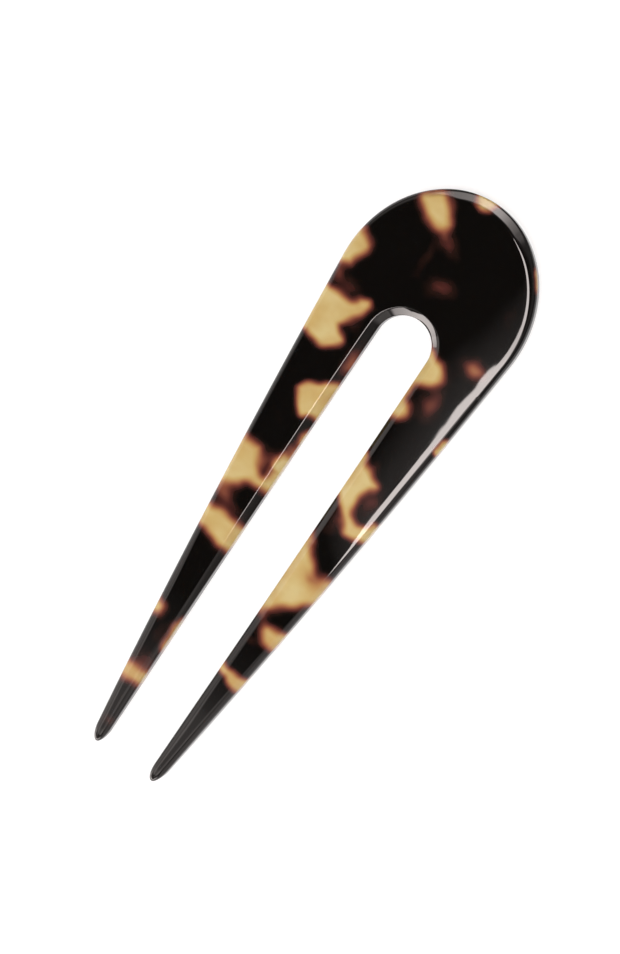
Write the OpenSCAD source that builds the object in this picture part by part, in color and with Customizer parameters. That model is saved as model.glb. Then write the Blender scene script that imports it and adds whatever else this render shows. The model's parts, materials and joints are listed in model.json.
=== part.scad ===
// Two-prong hairpin cut from one flat sheet of cellulose acetate.
// A round head narrows into two long tapering prongs with a U-shaped slot between them.
// Every edge has a soft polished bevel, wide round the crown and in the slot, narrow down
// the prongs, and each prong thins into a small rounded tip.
// It lies on its flat underside: X runs across the head, +Y points from the tips to the
// crown, and Z is up. The origin is under the middle of the pin.

/* [Overall] */
// Length from the prong tips to the top of the crown
overall_l = 115; // [100:1:130]
// Widest width, across the head
head_w = 34.4; // [30:0.2:40]
// Thickness of the sheet
plate_t = 4; // [3:0.1:5]

/* [Head] */
// Height of the crown above the widest line of the head
crown_h = 19.5; // [16:0.5:22]
// How far the head's curve runs on below its widest line, before the prongs begin
shoulder_h = 1.8; // [1:0.1:3]
// Solid stretch of the head, from the round end of the slot to the top of the crown
head_depth = 23.5; // [22:0.5:30]

/* [Slot and prongs] */
// Width of the slot at its round end
slot_w = 10.2; // [8:0.1:12]
// Width of the slot halfway down the prongs
slot_mid_w = 10.3; // [8:0.1:12]
// Width of the slot at the tips
slot_tip_w = 9.7; // [7.5:0.1:11]
// Width of a prong beside its rounded tip
tip_w = 2.2; // [2:0.1:4]
// Length of the rounded tip
tip_l = 3; // [1:0.1:4]
// Thickness of a prong beside its rounded tip
tip_t = 2.8; // [2:0.1:3]
// Length over which the prong thins towards its tip
thinning_l = 16; // [8:1:30]

/* [Bevels] */
// Depth of each bevel, down from the face
bevel_depth = 1.1; // [0.6:0.1:1.4]
// Width of the bevel down the outer edge of the prongs
prong_bevel_w = 0.8; // [0.5:0.1:1.6]
// Width of the bevel over the crown
crown_bevel_w = 1.8; // [0.5:0.1:3]
// Width of the bevel round the slot
slot_bevel_w = 1.4; // [0.5:0.1:2]
// Roundness of a bevel: 1 is a flat chamfer, 2 is a quarter of an ellipse
bevel_round = 1.3; // [1.1:0.1:2]

/* [Smoothness] */
// Sections in the rounded tip of each prong
tip_sections = 6; // [4:1:8]
// Sections along each prong
prong_sections = 28; // [16:1:36]
// Sections round each half of the head
head_sections = 24; // [16:1:30]
// Steps across each bevel
bevel_steps = 4; // [3:1:5]

/* [Hidden] */

// The head's outer edge is an ellipse, and its widest line is at head_y
half_w = head_w / 2;
crown_y = overall_l / 2;
tip_y = -overall_l / 2;
head_y = crown_y - crown_h;

// The prong's outer edge leaves the ellipse along its tangent, as a parabola to the tip
shoulder_a = -asin(shoulder_h / crown_h);
shoulder_x = half_w * cos(shoulder_a);
shoulder_y = head_y - shoulder_h;
shoulder_slope = -half_w / crown_h * tan(shoulder_a);
prong_l = shoulder_y - tip_y;
tip_edge_x = slot_tip_w / 2 + tip_w;
prong_curve = (shoulder_x - tip_edge_x - shoulder_slope * prong_l) / pow(prong_l, 2);

// Middle of the slot's round end
slot_y = crown_y - head_depth - slot_w / 2;

// Share of the head's sections that lie beside the slot's end, below the shoulder
SHOULDER_SHARE = 0.12;
// Angle round the head by which the bevel has reached its full width over the crown
FULL_BEVEL_A = 70;
// The most of a section's width that one bevel may take
BEVEL_SHARE = 0.44;

// A smooth step from 0 to 1 as u goes from 0 to 1
function ease(u) = let (v = min(max(u, 0), 1)) v * v * (3 - 2 * v);

// Distance of a prong's outer edge from the middle line, at height y
function prong_edge_x(y) =
    let (v = shoulder_y - y)
    shoulder_x - shoulder_slope * v - prong_curve * v * v;

// Distance of the slot's edge from the middle line, at height y below its round end: half
// the width of a parabola through the slot's three widths
function slot_edge_x(y) =
    let (u = (slot_y - y) / (slot_y - tip_y))
    (slot_w * (1 - u) * (1 - 2 * u) + slot_mid_w * 4 * u * (1 - u) + slot_tip_w * u * (2 * u - 1)) / 2;

// Thickness of a prong at height y
function prong_thickness(y) =
    tip_t + (plate_t - tip_t) * ease((y - tip_y) / thinning_l);

// A section is [inner point, outer point, outer bevel's width, thickness].
// In the rounded tip the prong's width and thickness shrink as a quarter of an ellipse.
function tip_section(i) =
    let (a = 90 * i / tip_sections, y = tip_y + tip_l * (1 - cos(a)))
    let (inner = slot_edge_x(y), outer = prong_edge_x(y), middle = (inner + outer) / 2)
    let (half = (outer - inner) / 2 * sin(a))
    [[middle - half, y], [middle + half, y], prong_bevel_w, prong_thickness(y) * sin(a)];

function prong_section(i) =
    let (y = tip_y + tip_l + (slot_y - tip_y - tip_l) * i / prong_sections)
    [[slot_edge_x(y), y], [prong_edge_x(y), y], prong_bevel_w, prong_thickness(y)];

// Outer edge of the head for u from 0, beside the slot's end, to 1, at the crown
function head_angle(u) =
    shoulder_a + (90 - shoulder_a) * (u - SHOULDER_SHARE) / (1 - SHOULDER_SHARE);

function head_edge(u) =
    u < SHOULDER_SHARE
        ? let (y = slot_y + (shoulder_y - slot_y) * u / SHOULDER_SHARE) [prong_edge_x(y), y]
        : [half_w * cos(head_angle(u)), head_y + crown_h * sin(head_angle(u))];

// A head section runs from the slot's round end straight out to the head's edge
function head_section(i) =
    let (u = i / head_sections, outer = head_edge(u), middle = [0, slot_y])
    let (inner = middle + slot_w / 2 * (outer - middle) / norm(outer - middle))
    let (bevel_share = ease(head_angle(u) / FULL_BEVEL_A))
    [inner, outer, prong_bevel_w + (crown_bevel_w - prong_bevel_w) * bevel_share, plate_t];

function mirrored(section) =
    [[-section[0].x, section[0].y], [-section[1].x, section[1].y], section[2], section[3]];

// All sections, from the first one after the right tip, over the crown, to the left tip
right_half = concat(
    [for (i = [1:tip_sections]) tip_section(i)],
    [for (i = [1:prong_sections]) prong_section(i)],
    [for (i = [1:head_sections - 1]) head_section(i)]
);
crown = head_section(head_sections);
left_half = [for (i = [len(right_half) - 1:-1:0]) mirrored(right_half[i])];
sections = concat(right_half, [crown], left_half);

// One step of a bevel, as [share of its width, share of its depth], from face to wall
function bevel_step(k) =
    let (a = 90 * k / bevel_steps)
    [pow(sin(a), 2 / bevel_round), pow(cos(a), 2 / bevel_round)];

// The closed outline of a section in space, from its outer bevel on the top face
function outline(section) =
    let (inner = section[0], width = norm(section[1] - inner))
    let (along = (section[1] - inner) / width, half_t = section[3] / 2)
    let (depth = half_t * bevel_depth / (plate_t / 2), wall = half_t - depth)
    let (outer_w = min(section[2], BEVEL_SHARE * width))
    let (inner_w = min(slot_bevel_w, BEVEL_SHARE * width))
    let (down = [for (k = [0:bevel_steps]) bevel_step(k)])
    let (up = [for (k = [bevel_steps:-1:0]) bevel_step(k)])
    let (flat = concat(
        [for (b = down) [width - outer_w * (1 - b[0]), wall + depth * b[1]]],
        [for (b = up) [width - outer_w * (1 - b[0]), -wall - depth * b[1]]],
        [for (b = down) [inner_w * (1 - b[0]), -wall - depth * b[1]]],
        [for (b = up) [inner_w * (1 - b[0]), wall + depth * b[1]]]
    ))
    [for (p = flat) [inner.x + along.x * p[0], inner.y + along.y * p[0], plate_t / 2 + p[1]]];

// Corners and triangles of the swept body: a point at each tip and rings between them
RING = 4 * (bevel_steps + 1);
last = len(sections) - 1;
tip_x = (slot_edge_x(tip_y) + prong_edge_x(tip_y)) / 2;
corners = concat(
    [[tip_x, tip_y, plate_t / 2]],
    [for (s = sections) each outline(s)],
    [[-tip_x, tip_y, plate_t / 2]]
);
function corner(i, j) = 1 + i * RING + j % RING;
triangles = concat(
    [for (j = [0:RING - 1]) [0, corner(0, j), corner(0, j + 1)]],
    [for (i = [0:last - 1]) for (j = [0:RING - 1])
        each [
            [corner(i, j), corner(i + 1, j), corner(i + 1, j + 1)],
            [corner(i, j), corner(i + 1, j + 1), corner(i, j + 1)]
        ]],
    [for (j = [0:RING - 1]) [len(corners) - 1, corner(last, j + 1), corner(last, j)]]
);

module hairpin() {
    color([0.16, 0.09, 0.06])
        polyhedron(points = corners, faces = triangles, convexity = 6);
}

hairpin();
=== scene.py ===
# %% [markdown]
# # A tortoiseshell hairpin
# The real pin is sawn from one flat sheet of clouded cellulose acetate, bevelled round
# every edge and tumbled until it shines. This lesson builds it in four steps: the shape,
# the clouds of colour in the sheet, the polished finish, and a white photo table.

# %% Load the frame
import json
import math
import bpy
import numpy as np
from mathutils import Matrix, Vector

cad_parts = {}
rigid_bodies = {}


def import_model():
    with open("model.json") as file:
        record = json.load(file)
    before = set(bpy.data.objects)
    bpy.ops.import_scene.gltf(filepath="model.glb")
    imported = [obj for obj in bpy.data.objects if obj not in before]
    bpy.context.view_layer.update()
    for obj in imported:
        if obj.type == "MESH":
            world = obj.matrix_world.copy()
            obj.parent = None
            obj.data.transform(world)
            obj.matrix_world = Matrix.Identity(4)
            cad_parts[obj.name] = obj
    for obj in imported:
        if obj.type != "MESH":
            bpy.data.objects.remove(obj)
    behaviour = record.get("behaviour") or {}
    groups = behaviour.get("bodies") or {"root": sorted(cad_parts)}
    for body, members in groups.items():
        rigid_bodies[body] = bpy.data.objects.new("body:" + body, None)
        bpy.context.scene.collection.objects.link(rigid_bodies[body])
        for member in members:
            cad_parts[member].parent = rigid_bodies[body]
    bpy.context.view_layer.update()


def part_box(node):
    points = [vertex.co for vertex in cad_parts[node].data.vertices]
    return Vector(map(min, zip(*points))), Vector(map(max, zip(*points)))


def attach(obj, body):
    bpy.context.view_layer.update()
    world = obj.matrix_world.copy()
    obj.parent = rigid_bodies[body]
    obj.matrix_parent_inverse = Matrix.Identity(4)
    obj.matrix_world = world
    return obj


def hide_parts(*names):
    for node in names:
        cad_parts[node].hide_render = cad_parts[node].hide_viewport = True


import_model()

# %% [markdown]
# ## Sizes of the pin
# The sizes are in millimetres, because the whole pin is no longer than a hand. Length,
# width and thickness are read from the frame, so the two can never disagree. The rest are
# the same few measures that the solid is drawn from. Only the bevels differ. The solid has
# one width for each edge, and a craftsperson's file leaves widths that wander, so here
# each side of the prongs, of the slot and of the head has its own list of widths.

# %% Sizes of the pin
MM = 0.001
lowest, highest = (np.array(corner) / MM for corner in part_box("hairpin"))
half_w = (highest[0] - lowest[0]) / 2
tip_y, crown_y = lowest[1], highest[1]
plate_t = highest[2] - lowest[2]

crown_h = 19.5        # crown above the widest line of the head
shoulder_h = 1.8      # how far the head's curve runs on below that line
head_depth = 23.5     # solid stretch between the slot's end and the crown
slot_w, slot_mid_w, slot_tip_w = 10.2, 10.3, 9.7
tip_w, tip_l, tip_t = 2.2, 3.0, 2.8
thinning_l = 16.0     # the prongs thin over this length
bevel_depth = 1.1
roll_w, roll_angle = 0.35, 5.0    # before the outer bevel the face rolls off by this many degrees

# Widths of the bevels on the prongs and in the slot, at these heights
filed_y = [-57.5, -45, -36, -26, -18, -10, -4, 2, 8, 18, 26, 30, 32.5, 34]
left_side_w = [1.2, 1.3, 1.4, 1.4, 1.2, 1.0, 0.9, 0.87, 0.87, 0.87, 0.9, 0.93, 0.95, 0.95]
right_side_w = [1.1, 1.2, 1.2, 1.15, 1.0, 0.9, 0.98, 1.1, 1.22, 1.24, 1.22, 1.1, 1.0, 1.0]
left_slot_w = [1.5, 1.45, 1.3, 1.25, 1.3, 1.35, 1.4, 1.45, 1.5, 1.57, 1.55, 1.47, 1.40, 1.35]
right_slot_w = [1.6, 1.6, 1.55, 1.55, 1.5, 1.4, 1.38, 1.36, 1.34, 1.33, 1.38, 1.54, 1.55, 1.35]

# Widths of the outer bevel round the head, at these angles up from its widest line
filed_a = [-5, 6, 18, 31, 46, 62, 75]
left_head_w = [0.95, 1.06, 1.17, 1.27, 1.42, 1.68, 1.8]
right_head_w = [1.0, 1.15, 1.33, 1.45, 1.6, 1.76, 1.8]

head_y = crown_y - crown_h
shoulder_y = head_y - shoulder_h
slot_y = crown_y - head_depth - slot_w / 2
print(f"pin {2 * half_w:.1f} x {crown_y - tip_y:.1f} x {plate_t:.1f} mm")

# %% [markdown]
# ## The outline
# A craftsperson draws this outline with three curves. The crown is an ellipse. The outer
# edge of each prong leaves it along its tangent and bends in slowly, as a parabola does.
# The slot is nearly straight, with a half circle at its end. One could trace a picture
# with a Bezier curve, but formulas stay smooth however fine the mesh is.

# %% The outline
def ease(u):
    """A smooth step from 0 to 1: 3 u squared less 2 u cubed."""
    v = np.clip(u, 0, 1)
    return v * v * (3 - 2 * v)


shoulder_a = -math.asin(shoulder_h / crown_h)
shoulder_x = half_w * math.cos(shoulder_a)
shoulder_slope = -half_w / crown_h * math.tan(shoulder_a)
prong_l = shoulder_y - tip_y
tip_edge_x = slot_tip_w / 2 + tip_w
prong_curve = (shoulder_x - tip_edge_x - shoulder_slope * prong_l) / prong_l**2


def prong_edge_x(y):
    """Outer edge of a prong: the shoulder's x, less slope times drop, less curve times the
    drop squared."""
    drop = shoulder_y - y
    return shoulder_x - shoulder_slope * drop - prong_curve * drop**2


def slot_edge_x(y):
    """Half the slot's width: the parabola through its widths at the top, halfway and at the
    tips."""
    u = (slot_y - y) / (slot_y - tip_y)
    top, middle, bottom = (1 - u) * (1 - 2 * u), 4 * u * (1 - u), u * (2 * u - 1)
    return (slot_w * top + slot_mid_w * middle + slot_tip_w * bottom) / 2


prong_w = prong_edge_x(0.0) - slot_edge_x(0.0)
print(f"halfway the slot is {2 * slot_edge_x(0.0):.1f} mm wide and a prong {prong_w:.1f} mm")

# %% [markdown]
# ## Sections across the sheet
# The pin is one strip that runs up the right prong, over the head and down the left one.
# So it is described by cross-sections: an inner point on the slot, an outer point on the
# outline, and the thickness there. The widths of its two bevels are then read from the
# filed lists, by height on the prongs and by angle round the head. In the last 3 mm the
# width shrinks like a quarter of an ellipse and the thickness a little later, which makes
# a full round tip.

# %% Sections across the sheet
TIP_RINGS, PRONG_RINGS, HEAD_RINGS = 14, 260, 110
SHOULDER_SHARE = 0.2     # share of the head's rings beside the slot's end
TIP_FULLNESS = 0.7       # under 1 the thickness shrinks later than the width
ON_PRONG = -90.0         # stands for the angle of a section that isn't on the head


def right_half():
    """Inner points, outer points, thicknesses and angles round the head, from the right tip
    to the crown."""
    turn = np.radians(90 * np.arange(1, TIP_RINGS + 1) / TIP_RINGS)
    y = np.concatenate([
        tip_y + tip_l * (1 - np.cos(turn)),
        np.linspace(tip_y + tip_l, slot_y, PRONG_RINGS + 1)[1:],
    ])
    shrink = np.concatenate([np.sin(turn), np.ones(PRONG_RINGS)])
    middle = (slot_edge_x(y) + prong_edge_x(y)) / 2
    half = (prong_edge_x(y) - slot_edge_x(y)) / 2 * shrink
    full_t = tip_t + (plate_t - tip_t) * ease((y - tip_y) / thinning_l)
    prong = (np.stack([middle - half, y], 1), np.stack([middle + half, y], 1),
             full_t * shrink**TIP_FULLNESS, np.full(len(y), ON_PRONG))

    u = np.arange(1, HEAD_RINGS + 1) / HEAD_RINGS
    angle = shoulder_a + (np.pi / 2 - shoulder_a) * (u - SHOULDER_SHARE) / (1 - SHOULDER_SHARE)
    beside = slot_y + (shoulder_y - slot_y) * u / SHOULDER_SHARE
    outer = np.where((u < SHOULDER_SHARE)[:, None],
                     np.stack([prong_edge_x(beside), beside], 1),
                     np.stack([half_w * np.cos(angle), head_y + crown_h * np.sin(angle)], 1))
    centre = np.array([0, slot_y])
    spoke = (outer - centre) / np.linalg.norm(outer - centre, axis=1, keepdims=True)
    head = (centre + slot_w / 2 * spoke, outer, np.full(HEAD_RINGS, plate_t), np.degrees(angle))
    return [np.concatenate(pair) for pair in zip(prong, head)]


def whole_strip(half):
    """The right half, then the same rings mirrored in X back down to the left tip."""
    flip = np.array([-1, 1])
    return [np.concatenate([row, row[-2::-1] * (flip if row.ndim == 2 else 1)])
            for row in half]


def filed(left_w, right_w, place, places):
    """A bevel's width at each section, read from the left or the right list of widths."""
    return np.where(outer[:, 0] < 0,
                    np.interp(place, places, left_w), np.interp(place, places, right_w))


inner, outer, thickness, angle = whole_strip(right_half())
inner_bevel_w = filed(left_slot_w, right_slot_w, inner[:, 1], filed_y)
outer_bevel_w = np.where(angle == ON_PRONG,
                         filed(left_side_w, right_side_w, inner[:, 1], filed_y),
                         filed(left_head_w, right_head_w, angle, filed_a))
print(len(inner), "sections along the strip")

# %% [markdown]
# ## The profile of a bevel
# A bevel is cut flat, and the tumbling barrel then softens its two corners: a little where
# it meets the face, more where it meets the wall. That small upper rounding is what draws
# the thin bright line along every edge, so it is worth real geometry. The Bevel modifier
# could round a plain box, but it doesn't taper with the prongs. Here the slope of the
# profile is given along its length, and adding up tiny steps at that slope gives its
# shape. The slot and the crown keep a broad flat cut. Down the outside of the prongs only
# a short flat is left, and towards the tips, where fingers polish the pin most, the cut
# turns fully round.

# %% The profile of a bevel
BEVEL_POINTS = 12
PROFILE_STEPS = 2001     # tiny steps that are added up
FLAT_PACE = 0.35         # above 0 some of the points also lie on the flat of the cut


def bevel_profile(start, crease_share, wall_share, curl):
    """Unit bevel as (inset 1 to 0, drop 0 to 1). The slope goes from the start to 45 degrees
    less curl over the crease, on to 45 plus curl over the cut, and to upright over the
    wall's rounding. The inset and the drop are the sums of its cosine and its sine."""
    u = np.linspace(0, 1, PROFILE_STEPS)
    slope = np.interp(u, [0, crease_share, 1 - wall_share, 1],
                      [start, 45 - curl, 45 + curl, 90])
    run = np.concatenate([[0], np.cumsum(np.cos(np.radians(slope[1:])))])
    drop = np.concatenate([[0], np.cumsum(np.sin(np.radians(slope[1:])))])
    pace = slope / 90 + FLAT_PACE * u
    at = np.interp(np.linspace(0, 1, BEVEL_POINTS), pace / pace[-1], u)
    return 1 - np.interp(at, u, run / run[-1]), np.interp(at, u, drop / drop[-1])


slot_cut = np.array(bevel_profile(0, 0.08, 0.11, 1))
crown_cut = np.array(bevel_profile(roll_angle, 0.08, 0.16, 1))
side_cut = np.array(bevel_profile(roll_angle, 0.13, 0.72, 9))
tip_cut = np.array(bevel_profile(0, 0.5, 0.5, 0))
print("slot cut: inset", slot_cut[0].round(2), "drop", slot_cut[1].round(2))

# %% [markdown]
# ## The pin as one grid
# Each section becomes a closed ring of points: down the outer bevel and wall, under the
# sheet, up the inner side and back across the face. The rings are stacked as one array,
# the pin's surface as a function of two numbers: how far along the strip, and how far
# round the ring. Extra points sit close to each crease, so that smooth shading stays
# perfectly level across the face and turns only in the rounding itself.

# %% The pin as one grid
ROLL_COLUMNS, FACE_COLUMNS, UNDER_COLUMNS, WALL_ROWS = 6, 24, 14, 3
BEVEL_SHARE = 0.44       # the most of a section's width that one bevel takes
ROLL_SHARE = 0.45        # the most of the face's width that one roll takes
ROUND_FROM_Y, ROUND_OVER = -8.0, 38.0    # from here down the prongs the cut turns round
ROLL_FROM_Y, ROLL_OVER = -18.0, 22.0     # from here up them the roll sets in
HEAD_ROLL_LESS = 0.32                    # round the head the roll is narrower by this share
HEAD_FROM_Y, HEAD_OVER = 36.0, 4.0       # and here it narrows
CROWN_X, CROWN_OVER = 11.0, 5.0          # from this far out inwards the crown's cut sets in


def face_strip(width, roll, count):
    """Places across a face and how far they lie below it. The outer edge rolls off: the drop
    grows with the square of the way into the roll, so the slope grows evenly up to
    roll_angle."""
    into = np.linspace(0, 1, ROLL_COLUMNS + 1)[1:-1]
    level = (width - roll)[:, None] * np.linspace(0, 1, count)[1:]
    rolled = (width - roll)[:, None] + roll[:, None] * into
    drop = 0.5 * math.tan(math.radians(roll_angle)) * roll[:, None] * into**2
    return np.concatenate([level, rolled], 1), np.concatenate([0 * level, drop], 1)


def ring_grid():
    """Every section's ring, as an array of rings by points by xyz, in millimetres. A point
    lies at the inner point plus the unit vector across the section times x, and at the
    sheet's middle plus z."""
    width = np.linalg.norm(outer - inner, axis=1)
    along = (outer - inner) / width[:, None]
    half_t = thickness / 2
    outer_w = np.minimum(outer_bevel_w, BEVEL_SHARE * width)
    inner_w = np.minimum(inner_bevel_w, BEVEL_SHARE * width)
    depth = half_t * bevel_depth / (plate_t / 2)
    face_w = width - inner_w - outer_w

    crown_share = ease((CROWN_X - abs(outer[:, 0])) / CROWN_OVER) * (outer[:, 1] > head_y)
    crown_share = crown_share[:, None]
    tip_share = ease((ROUND_FROM_Y - inner[:, 1]) / ROUND_OVER)[:, None]
    head_share = ease((outer[:, 1] - HEAD_FROM_Y) / HEAD_OVER)
    roll = roll_w * ease((inner[:, 1] - ROLL_FROM_Y) / ROLL_OVER) * (1 - HEAD_ROLL_LESS * head_share)
    roll = np.minimum(roll, ROLL_SHARE * face_w)
    roll_drop = (0.5 * math.tan(math.radians(roll_angle)) * roll)[:, None]

    def cut(profile):
        return profile[:, None]

    edge_cut = cut(side_cut) + (cut(crown_cut) - cut(side_cut)) * crown_share
    out_inset, out_drop = edge_cut * (1 - tip_share) + cut(tip_cut) * tip_share
    in_inset, in_drop = cut(slot_cut) * (1 - tip_share) + cut(tip_cut) * tip_share
    out_x = width[:, None] - outer_w[:, None] * out_inset
    out_z = half_t[:, None] - roll_drop - (depth[:, None] - roll_drop) * out_drop
    in_x = inner_w[:, None] * in_inset
    in_z = half_t[:, None] - depth[:, None] * in_drop

    wall = np.linspace(1, -1, WALL_ROWS + 2)[1:-1]
    wall_z = (half_t - depth)[:, None] * wall
    face_x, face_drop = face_strip(face_w, roll, FACE_COLUMNS)
    under_x, under_drop = face_strip(face_w, roll, UNDER_COLUMNS)
    face_z = half_t[:, None]

    x = np.concatenate([
        out_x, 0 * wall_z + width[:, None], out_x[:, ::-1], (inner_w[:, None] + under_x)[:, ::-1],
        in_x, 0 * wall_z, in_x[:, ::-1], inner_w[:, None] + face_x,
    ], axis=1)
    z = np.concatenate([
        out_z, wall_z, -out_z[:, ::-1], -face_z + under_drop[:, ::-1],
        -in_z, -wall_z, in_z[:, ::-1], face_z - face_drop,
    ], axis=1)
    xy = inner[:, None] + along[:, None] * x[..., None]
    return np.concatenate([xy, plate_t / 2 + z[..., None]], axis=2)


grid = ring_grid()
print("grid of", grid.shape[0], "rings by", grid.shape[1], "points")

# %% [markdown]
# ## From grid to mesh
# Neighbouring rings are joined by quads, and a fan of triangles closes each tip on one
# point. The volume inside tells both whether the faces point outwards, when it is
# positive, and whether the shape is right: it should be close to the solid's.

# %% From grid to mesh
def joined_faces(rings, size):
    """Quads between rings as vertex numbers, where the last point of a ring meets its first."""
    ring = np.arange(rings - 1)[:, None] * size
    here = np.arange(size)[None]
    there = (here + 1) % size
    corners = [ring + here, ring + there, ring + size + there, ring + size + here]
    return np.stack(corners, 2).reshape(-1, 4)


def tip_fan(tip, first, size, backwards):
    """Triangles from a tip's point to each side of its ring."""
    here = first + np.arange(size)
    there = first + (np.arange(size) + 1) % size
    pair = [there, here] if backwards else [here, there]
    return np.stack([np.full(size, tip)] + pair, 1)


rings, ring_size = grid.shape[:2]
tip_x = (slot_edge_x(tip_y) + prong_edge_x(tip_y)) / 2
tips = np.array([[tip_x, tip_y, plate_t / 2], [-tip_x, tip_y, plate_t / 2]])
points = np.concatenate([grid.reshape(-1, 3), tips])
quads = joined_faces(rings, ring_size)
fans = np.concatenate([
    tip_fan(rings * ring_size, 0, ring_size, True),
    tip_fan(rings * ring_size + 1, (rings - 1) * ring_size, ring_size, False),
])


def inside_volume(points, triangles):
    """Sum of the signed volumes of the tetrahedra between the origin and each triangle."""
    a, b, c = (points[triangles[:, k]] for k in range(3))
    return np.einsum("ij,ij->i", a, np.cross(b, c)).sum() / 6


triangles = np.concatenate([quads[:, [0, 1, 2]], quads[:, [0, 2, 3]], fans])
volume = inside_volume(points, triangles)
if volume < 0:
    quads, fans, volume = quads[:, ::-1], fans[:, ::-1], -volume
print(f"volume {volume / 1000:.2f} cubic centimetres, {len(triangles)} triangles")

pin_mesh = bpy.data.meshes.new("tortoiseshell_pin")
pin_mesh.from_pydata((points * MM).tolist(), [], quads.tolist() + fans.tolist())
pin_mesh.shade_smooth()
pin = bpy.data.objects.new("tortoiseshell_pin", pin_mesh)
bpy.context.scene.collection.objects.link(pin)
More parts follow.
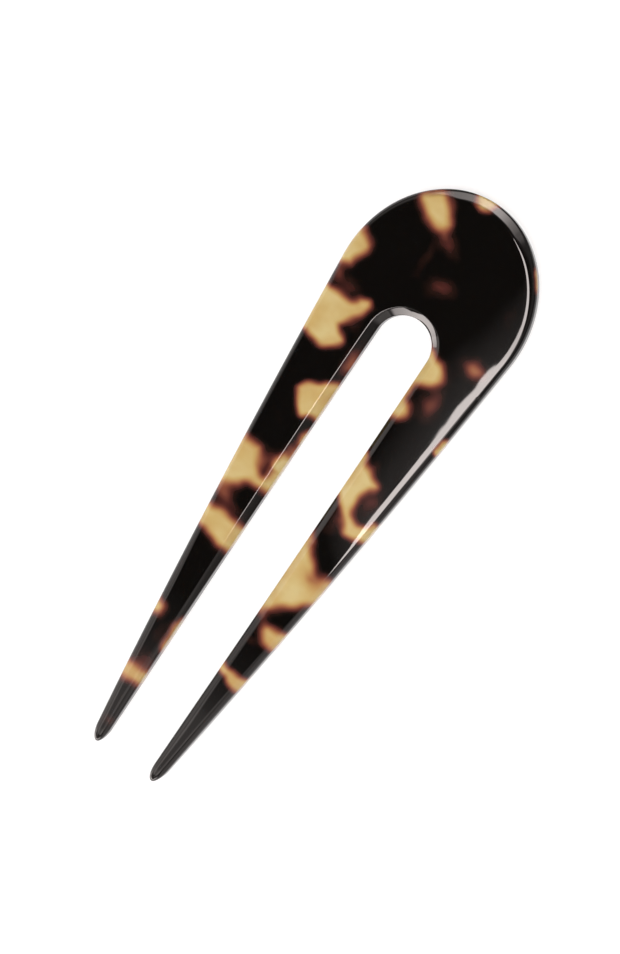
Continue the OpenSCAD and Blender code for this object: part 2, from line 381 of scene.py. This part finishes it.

# %% [markdown]
# ## The clouds in the sheet
# Tortoiseshell acetate is made by pressing chips of amber and of dark brown plastic into
# one block, so the clouds are solid all the way through and have fairly firm borders.
# A noise texture makes random clouds. These ones are charted instead: each amber
# patch is a few corners in millimetres on the face, with a softness for its border, and a
# smooth closed curve runs through the corners.

# %% The clouds in the sheet
amber_patches = {
    # name: (softness of the border, corners round the patch)
    "crown_left": (1.15, [
        (-11.6, 51.9), (-10.2, 53.8), (-8.2, 54.5), (-6.4, 53.4), (-5.0, 51.8), (-4.2, 50.2),
        (-4.6, 48.9), (-6.4, 48.4), (-8.4, 49.0), (-10.4, 50.2),
    ]),
    "crown_top": (0.75, [
        (-4.0, 58.5), (-3.7, 56.6), (-2.6, 55.4), (-1.6, 55.0), (-0.6, 55.5), (0.3, 56.4),
        (0.6, 58.5),
    ]),
    "head_left": (0.95, [
        (-18.5, 41.4), (-15.8, 41.3), (-14.2, 40.5), (-13.4, 39.3), (-13.9, 37.8), (-14.6, 36.3),
        (-15.4, 35.1), (-18.5, 34.6),
    ]),
    "left_shoulder": (0.8, [
        (-18.5, 30.4), (-15.4, 30.4), (-13.6, 30.5), (-11.8, 30.2), (-10.6, 30.9), (-9.9, 31.7),
        (-8.6, 32.2), (-7.7, 31.4), (-7.8, 30.2), (-8.8, 28.4), (-10.2, 26.4), (-10.3, 25.5),
        (-8.5, 24.2), (-8.5, 23.3), (-10.0, 21.5), (-11.6, 20.9), (-13.2, 21.2), (-15.0, 21.6),
        (-18.5, 22.0),
    ]),
    "left_quarter": (0.7, [
        (-11.0, 13.2), (-9.8, 14.8), (-8.0, 15.9), (-6.6, 16.8), (-3.0, 17.8), (-3.0, 10.0),
        (-5.8, 10.1), (-7.5, 9.2), (-8.9, 10.0), (-9.9, 11.6),
    ]),
    "left_slot_side": (0.7, [
        (-5.3, 7.9), (-5.6, 5.5), (-5.2, 4.4), (-5.3, 2.6), (-6.6, 1.9), (-6.7, -1.0),
        (-3.0, -1.0), (-3.0, 9.0),
    ]),
    "left_middle": (1.1, [
        (-15.0, 1.3), (-12.6, 1.2), (-10.5, 1.2), (-9.6, 0.2), (-8.6, -1.4), (-7.7, -2.6),
        (-6.8, -2.6), (-6.4, -0.6), (-3.0, 0.0), (-3.0, -4.6), (-6.2, -5.2), (-8.4, -5.4),
        (-10.1, -6.6), (-12.0, -7.7), (-14.5, -8.4),
    ]),
    "left_lower": (0.95, [
        (-14.0, -12.3), (-11.4, -11.8), (-9.8, -11.4), (-7.6, -11.7), (-5.4, -11.9),
        (-3.0, -12.4), (-3.0, -17.8), (-5.4, -17.4), (-7.4, -17.0), (-9.4, -16.6), (-11.0, -16.3),
        (-14.0, -15.8),
    ]),
    "left_notch": (0.95, [
        (-12.5, -29.8), (-9.6, -30.4), (-8.5, -31.6), (-9.2, -32.9), (-12.5, -33.6),
    ]),
    "left_thin_side": (0.7, [
        (-5.2, -31.1), (-5.7, -33.6), (-5.5, -36.2), (-5.1, -38.0), (-2.0, -38.8), (-2.0, -30.2),
    ]),
    "left_end": (1.05, [
        (-10.5, -42.3), (-6.5, -42.2), (-2.0, -42.2), (-2.0, -45.4), (-6.0, -45.4),
        (-10.5, -45.5),
    ]),
    "right_slot_side": (0.95, [
        (2.0, 31.2), (6.5, 30.6), (8.1, 30.0), (9.0, 28.7), (9.3, 27.3), (8.6, 26.2), (7.2, 25.5),
        (6.1, 24.7), (5.7, 23.7), (5.9, 22.3), (7.1, 21.3), (7.7, 20.1), (7.3, 18.9), (6.2, 18.0),
        (2.0, 17.8),
    ]),
    "right_rim": (0.35, [
        (10.9, 54.9), (11.5, 52.5), (12.5, 50.9), (13.65, 49.3), (16.4, 48.3), (18.0, 54.0),
    ]),
    "right_low_rim": (0.6, [
        (15.1, 19.9), (14.7, 18.3), (15.0, 16.9), (18.5, 16.0), (18.5, 20.6),
    ]),
    "right_middle": (0.8, [
        (2.0, 12.2), (5.4, 10.8), (6.6, 9.2), (8.4, 8.1), (10.3, 7.1), (10.4, 6.3), (9.3, 5.3),
        (8.9, 3.6), (9.0, 1.8), (9.8, 0.4), (11.2, -0.1), (12.3, 0.4), (13.0, 1.4), (13.6, 1.6),
        (16.0, 1.2), (16.0, -2.2), (12.8, -2.7), (11.6, -3.2), (9.8, -3.1), (8.8, -1.8),
        (7.6, -0.3), (6.3, 1.0), (5.2, 1.8), (2.0, 2.0),
    ]),
    "right_slant": (1.1, [
        (2.0, -4.2), (5.9, -6.2), (6.9, -7.9), (8.4, -9.5), (10.2, -10.7), (12.2, -10.6),
        (16.0, -10.4), (16.0, -15.0), (12.3, -16.5), (10.4, -18.0), (8.6, -19.5), (6.6, -21.2),
        (5.2, -22.4), (2.0, -23.0),
    ]),
    "right_island": (0.95, [
        (13.6, -22.6), (10.0, -23.0), (7.9, -23.5), (7.5, -24.5), (8.2, -25.9), (9.6, -26.8),
        (11.0, -27.1), (13.6, -27.3),
    ]),
    "right_band": (0.75, [
        (2.0, -32.6), (6.5, -33.1), (9.6, -33.1), (13.0, -33.0), (13.0, -36.8), (9.6, -36.3),
        (7.6, -35.7), (6.0, -34.9), (2.0, -34.4),
    ]),
}


def closed_curve(corners, steps=6):
    """Catmull-Rom curve through the corners: at each corner it runs parallel to the line
    between that corner's neighbours."""
    here = np.array(corners, float)
    before, after, beyond = np.roll(here, 1, 0), np.roll(here, -1, 0), np.roll(here, -2, 0)
    u = np.linspace(0, 1, steps, endpoint=False)[:, None, None]
    curve = 0.5 * (2 * here + (after - before) * u
                   + (2 * before - 5 * here + 4 * after - beyond) * u**2
                   + (3 * here - before - 3 * after + beyond) * u**3)
    return curve.transpose(1, 0, 2).reshape(-1, 2)


corner_count = sum(len(corners) for _, corners in amber_patches.values())
print(len(amber_patches), "amber patches with", corner_count, "corners in all")

# %% [markdown]
# ## How far a point lies inside a patch
# Each point of the mesh needs one number: how far it lies inside the nearest amber patch,
# or how far outside, counted in border widths. That number changes evenly over the
# surface, so a mesh stores it well, and the material can turn it into a crisp or a soft
# border later. The borders also wander a little, and they lean as they go down through
# the sheet, so the underside shows the same block cut at another depth.

# %% How far a point lies inside a patch
FAR_OUTSIDE = -9.0       # the reach of a point before any patch is looked at
BORDER_W = 1.5           # a border of softness 1 is this wide on each side, in millimetres
MOST_REACH = 4           # the material needs no more than this many border widths


def depth_inside(xy, outline):
    """Least distance to the outline's edges, positive where a ray to the right crosses an
    odd number of them."""
    start, end = outline, np.roll(outline, -1, 0)
    edge = end - start
    away = xy[:, None] - start
    share = np.clip((away * edge).sum(2) / (edge**2).sum(1), 0, 1)
    distance = np.sqrt(((away - share[..., None] * edge)**2).sum(2).min(1))
    spans = (start[:, 1] > xy[:, None, 1]) != (end[:, 1] > xy[:, None, 1])
    rise = np.where(edge[:, 1] == 0, 1e-9, edge[:, 1])
    crossing = start[:, 0] + (xy[:, None, 1] - start[:, 1]) / rise * edge[:, 0]
    inside = (spans & (xy[:, None, 0] < crossing)).sum(1) % 2 == 1
    return np.where(inside, distance, -distance)


def wandered(xyz):
    """Points moved by crossing sine waves, and sideways by the square of their depth under
    the face."""
    x, y = xyz[:, 0], xyz[:, 1]
    sunk = (plate_t - xyz[:, 2]) / plate_t
    waves = np.stack([0.12 * np.sin(1.9 * y + 0.8 * x),
                      0.07 * np.sin(2.2 * x - 0.9 * y + 2.0)], 1)
    lean = np.stack([0.9 * np.sin(0.19 * y + 0.5), 1.5 * np.cos(0.15 * y + 0.12 * x)], 1)
    return xyz[:, :2] + waves + lean * (sunk**2)[:, None]


chart_xy = wandered(points)
reach = np.full(len(points), FAR_OUTSIDE)
for softness, corners in amber_patches.values():
    depth = depth_inside(chart_xy, closed_curve(corners))
    reach = np.maximum(reach, depth / (BORDER_W * softness))
reach = np.clip(reach, -MOST_REACH, MOST_REACH)
print(f"{(reach > 0).mean():.0%} of the surface points lie in amber")

# %% [markdown]
# ## Red glows in the dark
# Where the dark plastic is thin, light comes through it red-brown, like tea in a dark
# cup. Those places are soft spots: a centre, two radii, a slant and how much of the
# darkness the spot takes away. A negative share adds a little darkness inside the amber.

# %% Red glows in the dark
glow_spots = [
    # x, y, radius across, radius along, slant in degrees, share of the darkness taken away
    (-3.4, 47.7, 2.8, 1.3, -28, 0.33),
    (-4.7, 43.6, 0.9, 3.0, 0, 0.18),
    (0.3, 40.9, 2.3, 1.4, 12, 0.34),
    (12.8, 32.5, 2.2, 1.7, -5, 0.70),
    (10.2, 23.8, 1.6, 3.0, 0, 0.44),
    (8.1, 9.3, 1.1, 1.2, 0, 0.22),
    (10.8, 3.6, 1.8, 2.8, 0, 0.36),
    (-8.0, 0.0, 1.3, 2.0, -20, 0.34),
    (-11.2, -8.9, 2.3, 1.7, 0, 0.50),
    (-8.0, -10.2, 2.0, 0.9, 0, 0.24),
    (-13.2, 31.9, 2.6, 1.5, 0, 0.24),
    (-15.9, 33.2, 1.2, 1.6, 0, 0.40),
    (-16.4, 41.8, 0.8, 0.9, 0, 0.30),
    (-5.5, 21.4, 1.2, 2.6, 0, 0.56),
    (-8.6, 27.2, 1.2, 1.6, 0, 0.22),
    (-5.9, 3.4, 0.8, 1.8, 0, 0.40),
    (-6.8, -35.5, 1.8, 4.0, 0, 0.15),
    (-6.3, -40.9, 3.0, 1.5, 0, 0.28),
    (-5.5, -53.0, 1.6, 1.0, 0, 0.26),
    (7.6, -1.4, 1.4, 1.8, 35, 0.24),
    (7.4, -3.9, 1.6, 1.2, 40, 0.20),
    (6.6, -22.8, 1.2, 1.6, 30, 0.30),
    (7.0, -27.2, 1.3, 1.0, 0, 0.20),
    (10.2, -12.2, 1.7, 1.5, 0, -0.36),
    (8.0, 22.0, 1.2, 3.0, 0, 0.12),
    (-9.0, -14.5, 4.0, 2.2, 0, -0.07),
    (9.5, -25.0, 2.5, 2.0, 0, -0.08),
    (9.0, -35.0, 3.0, 1.6, 0, -0.12),
    (-6.8, -43.8, 3.0, 1.5, 0, -0.08),
]


def spot(xy, x, y, across, along, slant):
    """A bell-shaped spot: e to the power of minus the squared distance, counted in radii."""
    turn = math.radians(slant)
    away = xy - np.array([x, y])
    u = (away[:, 0] * math.cos(turn) + away[:, 1] * math.sin(turn)) / across
    v = (away[:, 1] * math.cos(turn) - away[:, 0] * math.sin(turn)) / along
    return np.exp(-(u**2 + v**2))


glow = sum(share * spot(chart_xy, *place) for *place, share in glow_spots)
for name, values in (("amber_reach", reach), ("red_glow", glow)):
    layer = pin_mesh.attributes.new(name, "FLOAT", "POINT")
    layer.data.foreach_set("value", values.astype(np.float32))
print(f"red glow from {glow.min():.2f} to {glow.max():.2f}")

# %% [markdown]
# ## Short words for nodes
# A material is a graph of nodes, and written out in full each node takes several lines.
# So small helpers make a node, a sum or a noise in one line each. Places are read from
# the Object coordinates, so every pattern is fixed in the sheet and goes where it goes.

# %% Short words for nodes
finish = bpy.data.materials.new("polished_tortoiseshell")
finish.use_nodes = True
nodes, links = finish.node_tree.nodes, finish.node_tree.links
shader = next(n for n in nodes if n.type == "BSDF_PRINCIPLED")


def node(kind, **settings):
    """A new node of that kind. A setting that the node doesn't have goes to the input of
    that name."""
    new = nodes.new("ShaderNode" + kind)
    for key, value in settings.items():
        if hasattr(new, key):
            setattr(new, key, value)
        else:
            new.inputs[key.replace("_", " ")].default_value = value
    return new


def math_node(operation, a, b=0.0, clamp=False):
    """The output of a Math node, where a and b are numbers or other nodes' outputs."""
    new = node("Math", operation=operation, use_clamp=clamp)
    for socket, value in zip(new.inputs, (a, b)):
        if isinstance(value, (int, float)):
            socket.default_value = value
        else:
            links.new(value, socket)
    return new.outputs[0]


place = node("TexCoord").outputs["Object"]


def noise(scale, detail=2.0, roughness=0.5, stretch=None):
    """A noise of about 0 to 1 whose features are one over scale metres wide."""
    source = place
    if stretch:
        mapping = node("Mapping")
        mapping.inputs["Scale"].default_value = stretch
        links.new(place, mapping.inputs["Vector"])
        source = mapping.outputs[0]
    new = node("TexNoise", Scale=scale, Detail=detail, Roughness=roughness)
    links.new(source, new.inputs["Vector"])
    return new.outputs[0]


def attribute(name):
    """The number that the mesh stores under that name."""
    return node("Attribute", attribute_name=name).outputs["Fac"]


print("material", finish.name, "starts with", len(nodes), "nodes")

# %% [markdown]
# ## The dye
# Brown dye swallows blue light first, then green, then red. So the more dye the light
# passes, the further the colour runs from amber over orange and red-brown to black. One
# colour ramp on the amount of dye therefore gives the whole sheet, with the orange rims
# of the patches for free. A fine noise clouds the borders, a second one thins and thickens
# the dye like honey, and a third lets the amber turn to straw in places.

# %% The dye
BORDER_CLOUD = 0.22              # how far the noise shifts a border, in border widths
HONEY_CLEAR, HONEY = 0.34, 0.36  # the noise that adds no dye, and how much the rest adds
STRAW = (0.96, 0.98, 0.86, 1)    # tint of the strawy places

border_cloud = math_node("MULTIPLY", math_node("SUBTRACT", noise(300, 1.0, 0.4), 0.5), BORDER_CLOUD)
border = math_node("ADD", attribute("amber_reach"), border_cloud)
clear = node("MapRange", interpolation_type="SMOOTHSTEP")
links.new(border, clear.inputs["Value"])
clear.inputs["From Min"].default_value = -1.0
clear.inputs["From Max"].default_value = 1.0
darkness = math_node("SUBTRACT", 1.0, clear.outputs[0])
kept = math_node("SUBTRACT", 1.0, attribute("red_glow"))
thinned = math_node("MULTIPLY", darkness, kept)
added = math_node("MAXIMUM", math_node("MULTIPLY", attribute("red_glow"), -1.0), 0.0)
honey = math_node("MULTIPLY", math_node("SUBTRACT", noise(190, 2.0, 0.5), HONEY_CLEAR), HONEY)
dye = math_node("ADD", math_node("ADD", thinned, added), honey, clamp=True)

dye_colours = [
    # amount of dye, then the colour as linear red, green and blue
    (0.00, (0.440, 0.366, 0.186)),
    (0.10, (0.390, 0.289, 0.120)),
    (0.22, (0.334, 0.207, 0.084)),
    (0.35, (0.262, 0.118, 0.055)),
    (0.48, (0.179, 0.059, 0.035)),
    (0.60, (0.099, 0.030, 0.022)),
    (0.72, (0.047, 0.014, 0.0125)),
    (0.86, (0.0134, 0.0060, 0.0050)),
    (1.00, (0.0026, 0.0023, 0.0022)),
]
ramp = node("ValToRGB")
stops = ramp.color_ramp.elements
for at, _ in dye_colours[1:-1]:
    stops.new(at)
for stop, (at, colour) in zip(stops, dye_colours):
    stop.position, stop.color = at, (*colour, 1)
links.new(dye, ramp.inputs[0])

straw = node("Mix", data_type="RGBA", blend_type="MULTIPLY")
links.new(noise(260, 3.0, 0.6), straw.inputs["Factor"])
links.new(ramp.outputs[0], straw.inputs[6])
straw.inputs[7].default_value = STRAW
links.new(straw.outputs[2], shader.inputs["Base Color"])
print("dye ramp with", len(stops), "stops")

# %% [markdown]
# ## The polish
# Tumbled acetate shines like glass, yet it isn't perfect: the sheet is faintly wavy, and
# years in a drawer leave hairlines. A mirror finish with one low roughness looks like
# plastic in a game, so the roughness varies with fine stretched noise, and a very weak
# bump makes the reflections swim a little.

# %% The polish
shader.inputs["IOR"].default_value = 1.5
shader.inputs["Subsurface Weight"].default_value = 0.12
shader.inputs["Subsurface Radius"].default_value = (1.0, 0.45, 0.2)
shader.inputs["Subsurface Scale"].default_value = 0.0012

hairlines = noise(700, 2.0, 0.7, (1.0, 0.06, 1.0))
rough = node("MapRange")
links.new(hairlines, rough.inputs["Value"])
smooth, worn = 0.01, 0.02
for socket, value in (("From Min", 0.3), ("From Max", 0.8), ("To Min", smooth), ("To Max", worn)):
    rough.inputs[socket].default_value = value
links.new(rough.outputs[0], shader.inputs["Roughness"])

bump = node("Bump", Strength=0.012, Distance=0.0002)
links.new(noise(240, 1.0, 0.4), bump.inputs["Height"])
links.new(bump.outputs[0], shader.inputs["Normal"])
pin_mesh.materials.append(finish)
print(f"polish: roughness {smooth} to {worn}")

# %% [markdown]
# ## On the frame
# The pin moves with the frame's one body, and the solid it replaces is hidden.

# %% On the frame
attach(pin, "root")
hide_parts("hairpin")

# %% [markdown]
# ## The white table
# The pin lies on a lit white table, as small goods do when they are shown without a
# shadow. A sheet that glows by itself does this with no fuss, and its light also creeps
# up under the bevels.

# %% The white table
TABLE_GLOW = 0.74
TABLE_HALF, TABLE_Z = 8, -0.00005    # half its width, and its height, a hair under the pin
table_corners = [(x * TABLE_HALF, y * TABLE_HALF, TABLE_Z)
                 for x, y in ((-1, -1), (1, -1), (1, 1), (-1, 1))]
table_mesh = bpy.data.meshes.new("white_table")
table_mesh.from_pydata(table_corners, [], [(0, 1, 2, 3)])
table = bpy.data.objects.new("white_table", table_mesh)
bpy.context.scene.collection.objects.link(table)
white = bpy.data.materials.new("lit_white")
white.use_nodes = True
sheet = next(n for n in white.node_tree.nodes if n.type == "BSDF_PRINCIPLED")
sheet.inputs["Base Color"].default_value = (0.25, 0.25, 0.25, 1)
sheet.inputs["Roughness"].default_value = 0.9
sheet.inputs["Emission Color"].default_value = (1, 1, 1, 1)
sheet.inputs["Emission Strength"].default_value = TABLE_GLOW
table_mesh.materials.append(white)
print("table glow", TABLE_GLOW)

# %% [markdown]
# ## A softbox
# A polished thing is lit by what it mirrors, so in a studio the softboxes are shaped with
# black card, gauze and dimmers until their mirror images look right. An area light can be
# shaped in the same way. Its nodes know how far across and along the light a point is,
# from 0 to 1, and a grey ramp on each dims it part by part. A third ramp bends the first
# one sideways. A picture on a plane could do this too, but ramps need no file.

# %% A softbox
def grey_ramp(tree, value, stops):
    """The output of a colour ramp in that node tree, from stops of (position, level), fed
    by a socket."""
    ramp = tree.nodes.new("ShaderNodeValToRGB")
    steps = ramp.color_ramp.elements
    for at, _ in stops[1:-1]:
        steps.new(at)
    for step, (at, level) in zip(steps, stops):
        step.position, step.color = at, (level, level, level, 1)
    tree.links.new(value, ramp.inputs[0])
    return ramp.outputs[0]


def combined(tree, operation, a, b):
    """The output of a Math node in that tree on two sockets."""
    new = tree.nodes.new("ShaderNodeMath")
    new.operation = operation
    tree.links.new(a, new.inputs[0])
    tree.links.new(b, new.inputs[1])
    return new.outputs[0]


FLAT_LIGHT = [(0, 1), (1, 1)]
WARM = (1.0, 0.91, 0.88)


def softbox(name, centre, facing, size, radiance, across=FLAT_LIGHT, along=FLAT_LIGHT,
            up=(0, 1, 0), bend=None):
    """An area light of that size in metres. Its brightness is radiance times a ramp across
    its width times a ramp along its height, and bend moves the first ramp sideways with the
    height. Its energy is its brightness times pi times its area."""
    lamp = bpy.data.lights.new(name, "AREA")
    lamp.shape = "RECTANGLE"
    lamp.size, lamp.size_y = size
    lamp.color = WARM
    lamp.energy = radiance * math.pi * size[0] * size[1]
    lamp.use_nodes = True
    tree = lamp.node_tree
    glow_out = next(n for n in tree.nodes if n.type == "EMISSION")
    where = tree.nodes.new("ShaderNodeNewGeometry")
    split = tree.nodes.new("ShaderNodeSeparateXYZ")
    tree.links.new(where.outputs["Parametric"], split.inputs[0])
    u, v = split.outputs[0], split.outputs[1]
    if bend:
        u = combined(tree, "SUBTRACT", u, grey_ramp(tree, v, bend))
    level = combined(tree, "MULTIPLY", grey_ramp(tree, u, across), grey_ramp(tree, v, along))
    tree.links.new(level, glow_out.inputs["Strength"])
    light = bpy.data.objects.new(name, lamp)
    back = -Vector(facing).normalized()
    side = Vector(up).cross(back).normalized()
    light.matrix_world = Matrix((side, back.cross(side), back)).transposed().to_4x4()
    light.location = centre
    bpy.context.scene.collection.objects.link(light)
    print(f"softbox {name}: {size[0]:.2f} x {size[1]:.2f} m, {radiance:g} bright")


print("softboxes are tinted", WARM)

# %% [markdown]
# ## The lights above
# Seen from the camera, the face mirrors the dark ceiling beside the overhead softbox, so
# it looks deep and black. Only the right prong mirrors the softbox itself, as a bright
# band, and so do the fine creases, which turn through every direction. The real sheet is
# faintly wavy, so the band's left edge wanders. Dents of a thousandth of a millimetre in
# the mesh could do that, but the edge of a light is easier to draw, so it wanders instead.
# The softbox is built as two lights that touch: a ramp in a light holds 256 steps, so on
# the wide light an edge would blur over 2 mm, and on the narrow one it stays crisp. A
# dimmer softbox over the tips puts a grey sheen on the ends of the prongs.

# %% The lights above
# The band's left edge on the narrow light, in millimetres, from its lower end up
edge_y = [-98, -90, -84, -79, -75.5, -66.6, -62.9, -59.2, -51.8, -44.4, -40.7, -33.2,
          -25.8, -22.1, -18.4, -14.7, -11, -7.3, -3.6, 0.1, 11.4, 28.4, 80, 105]
edge_x = [-45.0, -52.0, -58.0, -62.5, -65.5, -66.2, -65.2, -64.5, -63.8, -63.3, -63.1, -63.2,
          -63.1, -62.8, -62.4, -61.7, -61.5, -61.1, -59.3, -58.3, -56.4, -54.3, -55.0, -45.0]
STRAIGHT_X = -67.2               # where the ramp's edge lies while nothing bends it
LOW_END_Y, LONG, NARROW = -98, 203, 42
edge_bend = [((y - LOW_END_Y) / LONG, (x - STRAIGHT_X) / NARROW) for x, y in zip(edge_x, edge_y)]
dimming = [(0, 0), (0.035, 1), (0.45, 1), (0.51, 0.84), (0.6, 0.84), (0.7, 0.92), (0.92, 0.92),
           (1, 0)]

softbox("overhead", (0.180, 0.0035, 0.504), (0, 0, -1), (0.440, 0.203), 15.0,
        across=[(0, 1), (0.452, 1), (0.584, 0.2), (1, 0.2)], along=dimming)
softbox("overhead_edge", (-0.061, 0.0035, 0.504), (0, 0, -1), (0.042, 0.203), 15.0,
        across=[(0.045, 0), (0.224, 0.020), (0.3500, 0.031), (0.3595, 1), (1, 1)],
        along=dimming, bend=edge_bend)
softbox("front_fill", (-0.08, -0.30, 0.504), (0, 0, -1), (0.5, 0.36), 2.4,
        across=[(0, 1), (0.3, 1), (0.42, 0.5), (0.56, 0.5), (0.66, 1), (1, 1)],
        along=[(0, 1), (0.5, 1), (0.64, 0.7), (0.84, 0.56), (0.905, 0.46), (0.955, 0.11), (1, 0)])

# %% [markdown]
# ## The lights around
# A bevel mirrors what stands low around the pin. The slot's round end faces the tips, so
# it mirrors a long strip close to the table beyond them. The crown's bevel mirrors a
# strip behind the head, and pale cards at both sides keep the outer bevels and the walls
# from going black. A bevel that turns a corner mirrors a curve, so both strips are bent.
# The flat face mirrors the low strip as well, for someone who looks from across the
# table, and at such a flat angle polish mirrors six times as much. So the strip is kept
# low and is cut off towards the right, or the dark face would turn white in that view.

# %% The lights around
softbox("low_strip", (-0.306, -1.229, 0.70), (-0.156, 0.988, 0), (1.4, 5.2), 14.0,
        across=[(0.09, 0), (0.11, 1), (0.38, 1), (0.44, 0)],
        along=[(0, 0.3), (0.192, 0.48), (0.30, 0.56), (0.40, 0.68), (0.515, 0.714),
               (0.701, 0.43), (0.706, 0.41), (0.733, 0.035), (0.80, 0.015), (1, 0.015)],
        up=(0.988, 0.156, 0),
        bend=[(0, 0.46), (0.192, 0.55), (0.287, 0.596), (0.394, 0.605), (0.47, 0.61),
              (0.505, 0.63), (0.54, 0.71), (0.585, 0.71), (0.63, 0.53), (0.701, 0.44),
              (0.798, 0.31), (1, 0)])
softbox("left_card", (-0.6, -0.31, 0.8), (1, 0, 0), (0.58, 1.6), 1.7,
        across=[(0, 0), (0.06, 0.42), (0.11, 0.5), (0.35, 0.65), (0.6, 1), (1, 1)],
        along=[(0, 1), (0.05, 1), (0.09, 0.7), (0.25, 0.8), (0.5, 0.45), (1, 0.35)],
        up=(0, 0, 1))
softbox("right_card", (0.6, -0.35, 0.8), (-1, 0, 0), (0.5, 1.6), 0.85,
        across=[(0, 1), (0.84, 1), (1, 0.05)], along=[(0, 1), (0.5, 0.8), (1, 0.6)],
        up=(0, 0, 1))
softbox("back_strip", (-0.20, 0.65, 0.45), (0, -1, 0), (0.5, 1.1), 8.0,
        across=[(0.10, 0), (0.15, 1), (0.45, 1), (0.5, 0)],
        along=[(0.155, 0), (0.168, 0.03), (0.197, 0.23), (0.27, 0.42), (0.36, 0.9), (0.41, 1),
               (0.46, 0.9), (0.56, 0.5), (0.75, 0.34), (0.95, 0.22), (1, 0)],
        up=(-1, 0, 0),
        bend=[(0, 0.02), (0.085, 0.107), (0.184, 0.196), (0.27, 0.258), (0.431, 0.326),
              (0.56, 0.338), (0.75, 0.303), (0.964, 0.218), (1, 0.2)])

# %% [markdown]
# ## The dim room
# Where no softbox stands, the pin mirrors the room. A room of one even grey would put a
# veil over the whole face. So the grey goes by direction: nearly black overhead, palest
# at a third of the way up, and paler on the left than on the right.

# %% The dim room
dim_room = bpy.data.worlds.new("dim_room")
bpy.context.scene.world = dim_room
dim_room.use_nodes = True
room = dim_room.node_tree
background = next(n for n in room.nodes if n.type == "BACKGROUND")
direction = room.nodes.new("ShaderNodeTexCoord")
toward = room.nodes.new("ShaderNodeSeparateXYZ")
room.links.new(direction.outputs["Generated"], toward.inputs[0])
height_level = grey_ramp(room, toward.outputs["Z"], [
    (0, 0.35), (0.3, 0.35), (0.5, 0.8), (0.65, 0.6), (0.8, 0.15), (0.95, 0.02)])
half_range = room.nodes.new("ShaderNodeMapRange")
room.links.new(toward.outputs["X"], half_range.inputs["Value"])
half_range.inputs["From Min"].default_value = -1.0
side_level = grey_ramp(room, half_range.outputs[0], [
    (0, 1), (0.2, 1), (0.36, 0.7), (0.5, 0.5), (1, 0.45)])
room_level = combined(room, "MULTIPLY", height_level, side_level)
room_tint = room.nodes.new("ShaderNodeMix")
room_tint.data_type, room_tint.blend_type = "RGBA", "MULTIPLY"
room_tint.inputs["Factor"].default_value = 1.0
room.links.new(room_level, room_tint.inputs[6])
room_tint.inputs[7].default_value = (*WARM, 1)
room.links.new(room_tint.outputs[2], background.inputs["Color"])
background.inputs["Strength"].default_value = 1.0
bpy.context.scene.view_settings.view_transform = "Standard"
softbox_count = sum(thing.type == "LIGHT" for thing in bpy.context.scene.objects)
print(softbox_count, "softboxes and a dim room")

# %% [markdown]
# ## The camera
# The photo was taken from almost straight above, leaning a little to the pin's right and
# towards its crown, with the pin lying aslant in the picture. The camera is set by those
# two leans, the turn of the pin in the picture and the point it looks at.

# %% The camera
LEAN_X, LEAN_Y, TURN = (math.radians(a) for a in (9.998, 7.777, 56.087))
target = Vector((-1.01, 1.146, 0)) * MM
DISTANCE = 0.6
PIXELS_PER_MM = 5.859
LONG_SIDE = 954

back = Vector((math.sin(LEAN_X), math.sin(LEAN_Y), 0))
back.z = math.sqrt(1 - back.length_squared)
up_the_pin = (Vector((0, 1, 0)) - back.y * back).normalized()
across_the_pin = up_the_pin.cross(back)
right = math.cos(TURN) * up_the_pin + math.sin(TURN) * across_the_pin
camera_data = bpy.data.cameras.new("camera")
camera_data.sensor_width = 36
camera_data.lens = PIXELS_PER_MM * DISTANCE / MM * camera_data.sensor_width / LONG_SIDE
camera_data.clip_end = 100
camera = bpy.data.objects.new("camera", camera_data)
camera.matrix_world = Matrix((right, back.cross(right), back)).transposed().to_4x4()
camera.location = target + DISTANCE * back
bpy.context.scene.collection.objects.link(camera)
bpy.context.scene.camera = camera
print(f"lens {camera_data.lens:.1f} mm, camera {camera.location.z:.3f} m above the table")

# %% Update the scene
bpy.context.view_layer.update()
